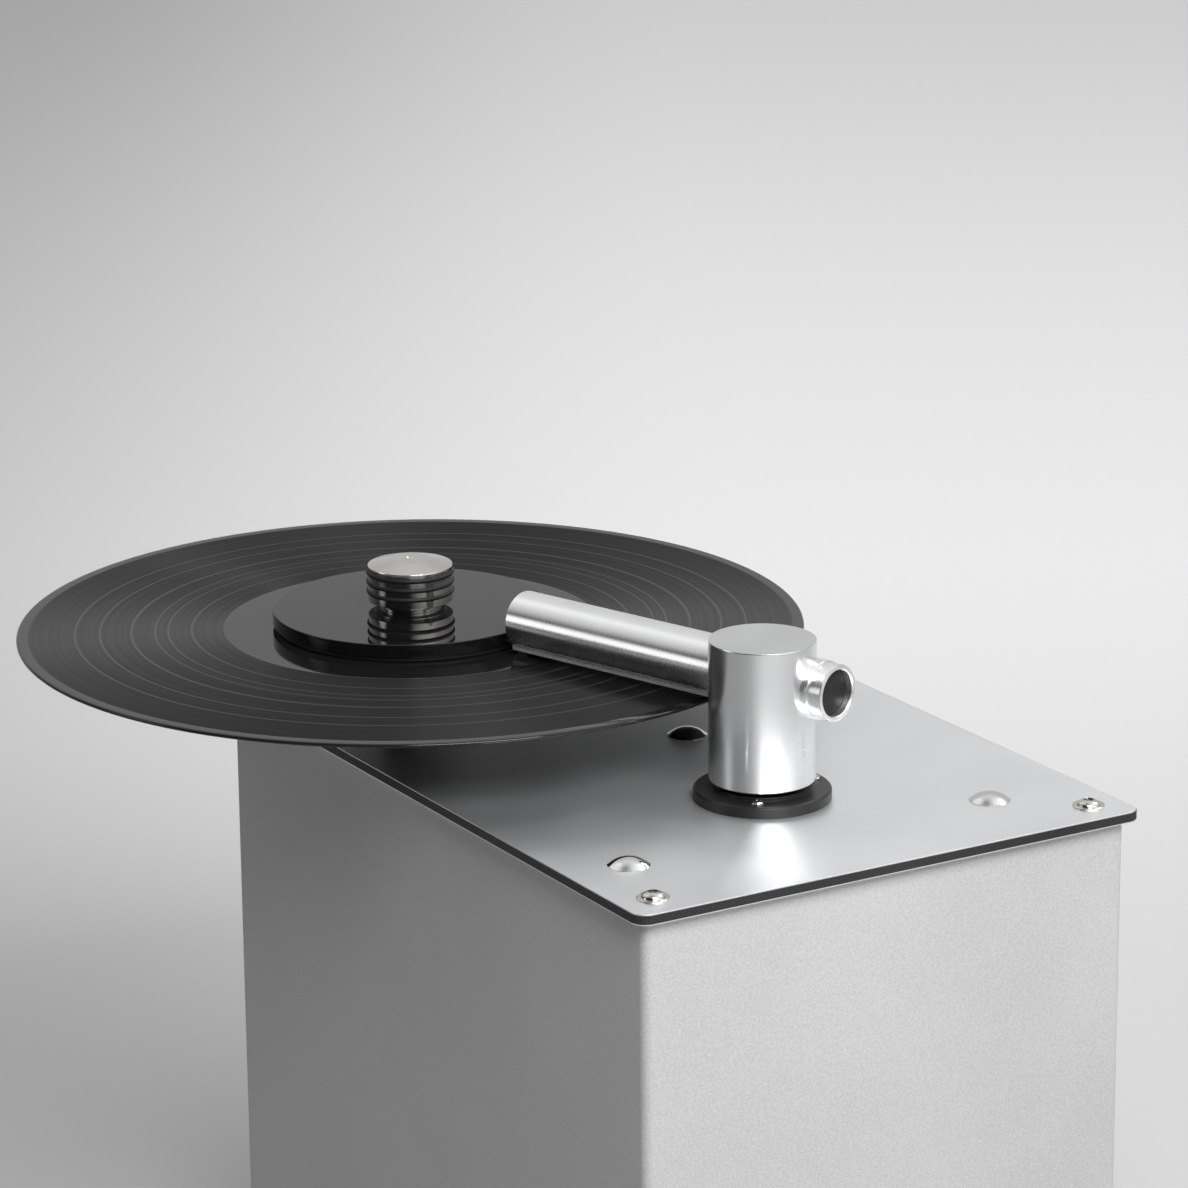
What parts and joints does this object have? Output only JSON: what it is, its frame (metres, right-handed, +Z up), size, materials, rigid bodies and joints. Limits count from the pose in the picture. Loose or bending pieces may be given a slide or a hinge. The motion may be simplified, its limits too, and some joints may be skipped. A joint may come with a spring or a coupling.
{
  "type": "record cleaning machine",
  "caption": "Vacuum record cleaning machine: sheet metal case, composite top plate, driven platter with clamped record, and a swinging suction arm on a pillar.",
  "frame": {"origin": "the middle of the whole outline's box, on the floor, the overhanging record counted", "axes": "+Z up, +Y along the long side from the arm end to the platter end, +X across the short side towards the side with the switches"},
  "size_m": [0.3233, 0.4068, 0.3097],
  "materials": {
    "tray_steel": "zinc plated sheet",
    "case_paint": "fine grain silver powder coat",
    "plate_skin": "satin coated cool grey",
    "plate_core": "milled black core edge",
    "stainless": "turned and brushed stainless",
    "polished_steel": "polished",
    "zinc_steel": "bright zinc",
    "turned_aluminium": "fine turned",
    "black_acetal": "turned black plastic",
    "dark_anodised": "dark anodised",
    "spring_steel": "plain wire",
    "bronze": "sintered bronze",
    "grey_felt": "short light grey pile",
    "rubber_black": "matt",
    "tank_plastic": "natural",
    "hose_rubber": "moulded",
    "motor_black": "black lacquer",
    "copper_winding": "lacquered winding",
    "cast_zinc": "die cast, as cast",
    "white_nylon": "moulded",
    "black_vinyl": "pressed grooves",
    "black_acrylic": "polished",
    "board_green": "lacquered board",
    "switch_black": "fine spark texture",
    "brass_pin": "nickel free brass",
    "clear_tube": "clear flexible tube"
  },
  "bodies": {
    "case": {"base_tray": "tray_steel", "case_wrap": "case_paint", "end_panel": "case_paint", "panel_screws": "stainless", "rubber_feet": "rubber_black", "foot_screws": "zinc_steel", "under_skin": "plate_skin", "top_core": "plate_core", "top_skin": "plate_skin", "corner_screws": "stainless", "rivet_nuts": "zinc_steel", "dome_bolts": "polished_steel", "dome_nuts": "zinc_steel", "arm_collar": "black_acetal", "collar_screws": "stainless", "guide_tube": "dark_anodised", "lift_spring": "spring_steel", "waste_tank": "tank_plastic", "tank_seal": "rubber_black", "tank_lid": "tank_plastic", "suction_hose": "hose_rubber", "hose_clips": "zinc_steel", "pump_mounts": "rubber_black", "pump_frame": "motor_black", "fan_shell": "tray_steel", "gearbox": "cast_zinc", "drive_motor": "motor_black", "bearing_boss": "stainless", "control_board": "board_green", "run_capacitor": "white_nylon", "switch_bodies": "switch_black", "inlet_socket": "switch_black", "inlet_pins": "brass_pin", "drain_port": "switch_black", "tube_clip": "switch_black"},
    "arm_lift": {"thrust_washer": "bronze"},
    "arm": {"arm_pillar": "turned_aluminium", "suction_tube": "turned_aluminium", "tube_cap": "turned_aluminium", "pad_strips": "grey_felt", "tail_tube": "turned_aluminium", "tail_plug": "rubber_black"},
    "turntable": {"platter_gear": "white_nylon", "spindle": "stainless", "platter": "black_acetal", "platter_mat": "rubber_black", "record": "black_vinyl"},
    "idler": {"idler_gear": "white_nylon"},
    "motor_shaft": {"motor_rotor": "zinc_steel"},
    "clamp": {"label_seal": "rubber_black", "clamp_disc": "black_acrylic"},
    "clamp_knob_body": {"clamp_knob": "stainless", "knob_rings": "rubber_black"},
    "pump_rotor": {"pump_armature": "copper_winding", "pump_impeller": "turned_aluminium"},
    "pump_switch": {"pump_rocker": "switch_black"},
    "platter_switch": {"platter_rocker": "switch_black"},
    "drain_hose": {"drain_elbow": "switch_black", "drain_tube": "clear_tube"},
    "drain_plug": {"drain_stopper": "rubber_black"}
  },
  "joints": [
    {"name": "arm_dip", "type": "slide", "parent": "case", "child": "arm_lift", "axis": [0, 0, -1], "range_m": [0, 0.0015], "stiffness_N_per_m": 700, "springref_m": -0.006, "deforming": ["lift_spring"]},
    {"name": "arm_swing", "type": "hinge", "parent": "arm_lift", "child": "arm", "pos_m": [0.03965, -0.1184, 0.28], "axis": [0, 0, 1], "range_deg": [-150, 18]},
    {"name": "platter_spin", "type": "hinge", "parent": "case", "child": "turntable", "pos_m": [-0.01085, 0.0526, 0.25], "axis": [0, 0, 1], "continuous": true},
    {"name": "idler_spin", "type": "hinge", "parent": "case", "child": "idler", "pos_m": [0.01725, 0.0526, 0.226], "axis": [0, 0, 1], "continuous": true},
    {"name": "motor_spin", "type": "hinge", "parent": "case", "child": "motor_shaft", "pos_m": [0.01272, 0.0269, 0.216], "axis": [0, 0, 1], "continuous": true},
    {"name": "clamp_lift", "type": "slide", "parent": "turntable", "child": "clamp", "axis": [0, 0, 1], "range_m": [0, 0.008]},
    {"name": "clamp_turn", "type": "hinge", "parent": "clamp", "child": "clamp_knob_body", "pos_m": [-0.01085, 0.0526, 0.29], "axis": [0, 0, 1], "range_deg": [0, 1440]},
    {"name": "pump_spin", "type": "hinge", "parent": "case", "child": "pump_rotor", "pos_m": [0.07915, 0.0266, 0.0535], "axis": [0, 0, 1], "continuous": true},
    {"name": "pump_rocker_tilt", "type": "hinge", "parent": "case", "child": "pump_switch", "pos_m": [0.14165, 0.0206, 0.211], "axis": [0, 1, 0], "range_deg": [-18, 0]},
    {"name": "platter_rocker_tilt", "type": "hinge", "parent": "case", "child": "platter_switch", "pos_m": [0.14165, 0.0546, 0.211], "axis": [0, 1, 0], "range_deg": [-9, 9]},
    {"name": "drain_swing", "type": "hinge", "parent": "case", "child": "drain_hose", "pos_m": [0.14265, -0.1184, 0.125], "axis": [1, 0, 0], "range_deg": [0, 150]},
    {"name": "stopper_pull", "type": "slide", "parent": "drain_hose", "child": "drain_plug", "axis": [0, 0, 1], "range_m": [0, 0.014]}
  ],
  "couplings": [
    {"joint": "idler_spin", "follows": "platter_spin", "ratio": -3.6667},
    {"joint": "motor_spin", "follows": "platter_spin", "ratio": 12.222},
    {"joint": "clamp_turn", "follows": "clamp_lift", "rad_per_m": 3141.6}
  ]
}
